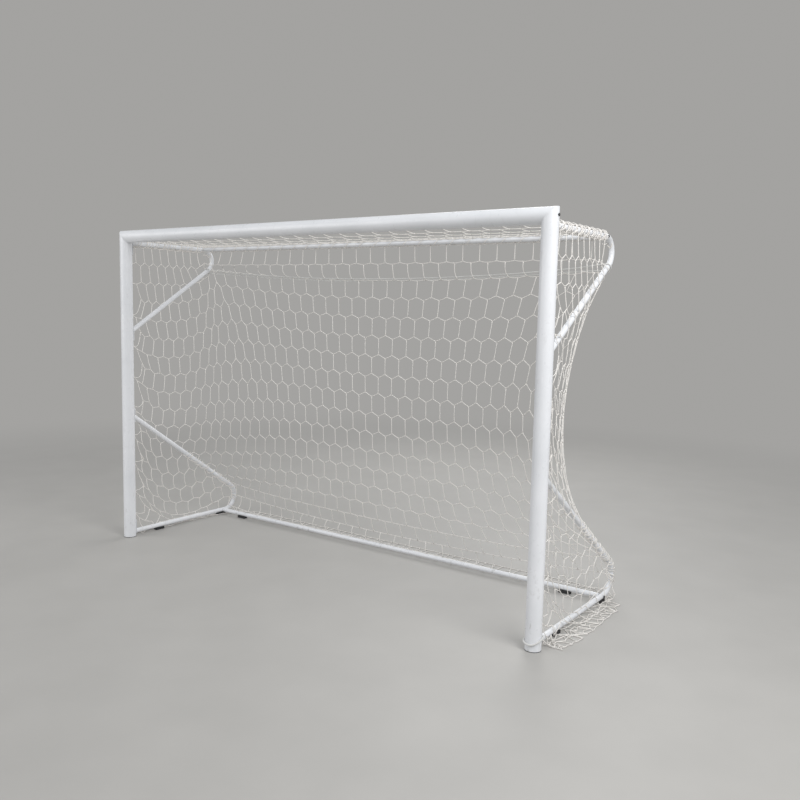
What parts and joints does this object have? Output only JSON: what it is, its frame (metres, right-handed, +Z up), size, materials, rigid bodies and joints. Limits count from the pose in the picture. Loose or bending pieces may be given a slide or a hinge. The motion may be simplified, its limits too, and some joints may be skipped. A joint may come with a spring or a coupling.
{
  "type": "futsal goal",
  "caption": "Free-standing futsal goal: round white posts and crossbar, bent rear stays on rubber pads, and a loose hexagonal net hooked to the frame.",
  "frame": {"origin": "centre of the goal's bounding box on the floor", "axes": "+Z up from the floor, +X along the crossbar towards the right post seen from the field, +Y from the mouth back into the net"},
  "size_m": [3.2768, 1.1396, 2.08],
  "materials": {
    "white_paint": "white powder coat, satin",
    "cast_aluminium": "as cast",
    "black_cap": "black, satin",
    "foot_plastic": "moulded",
    "hook_plastic": "moulded",
    "zinc_steel": "zinc plated",
    "pad_rubber": "moulded rubber",
    "net_cord": "braided twine",
    "rope_cord": "braided rope"
  },
  "bodies": {
    "root": {"base_tie_rope": "rope_cord", "crossbar": "white_paint", "crossbar_hook_strip": "hook_plastic", "left_bar_pad": "pad_rubber", "left_corner_bolt": "black_cap", "left_corner_insert": "cast_aluminium", "left_front_pad": "pad_rubber", "left_lower_bar_bolt": "black_cap", "left_lower_bar_insert": "zinc_steel", "left_lower_stay": "white_paint", "left_lower_stay_low_bolt": "zinc_steel", "left_lower_stay_low_nut": "zinc_steel", "left_lower_stay_top_bolt": "zinc_steel", "left_lower_stay_top_nut": "zinc_steel", "left_net_side": "net_cord", "left_net_skirt": "net_cord", "left_post": "white_paint", "left_post_foot": "foot_plastic", "left_post_hook_strip": "hook_plastic", "left_rear_pad": "pad_rubber", "left_upper_bar_bolt": "black_cap", "left_upper_bar_insert": "zinc_steel", "left_upper_stay": "white_paint", "left_upper_stay_low_bolt": "zinc_steel", "left_upper_stay_low_nut": "zinc_steel", "left_upper_stay_top_bolt": "zinc_steel", "left_upper_stay_top_nut": "zinc_steel", "lower_rear_bar": "white_paint", "net_back": "net_cord", "net_rear_skirt": "net_cord", "net_rope": "rope_cord", "net_top": "net_cord", "right_bar_pad": "pad_rubber", "right_corner_bolt": "black_cap", "right_corner_insert": "cast_aluminium", "right_front_pad": "pad_rubber", "right_lower_bar_bolt": "black_cap", "right_lower_bar_insert": "zinc_steel", "right_lower_stay": "white_paint", "right_lower_stay_low_bolt": "zinc_steel", "right_lower_stay_low_nut": "zinc_steel", "right_lower_stay_top_bolt": "zinc_steel", "right_lower_stay_top_nut": "zinc_steel", "right_net_side": "net_cord", "right_net_skirt": "net_cord", "right_post": "white_paint", "right_post_foot": "foot_plastic", "right_post_hook_strip": "hook_plastic", "right_rear_pad": "pad_rubber", "right_upper_bar_bolt": "black_cap", "right_upper_bar_insert": "zinc_steel", "right_upper_stay": "white_paint", "right_upper_stay_low_bolt": "zinc_steel", "right_upper_stay_low_nut": "zinc_steel", "right_upper_stay_top_bolt": "zinc_steel", "right_upper_stay_top_nut": "zinc_steel", "upper_rear_bar": "white_paint"}
  },
  "joints": []
}
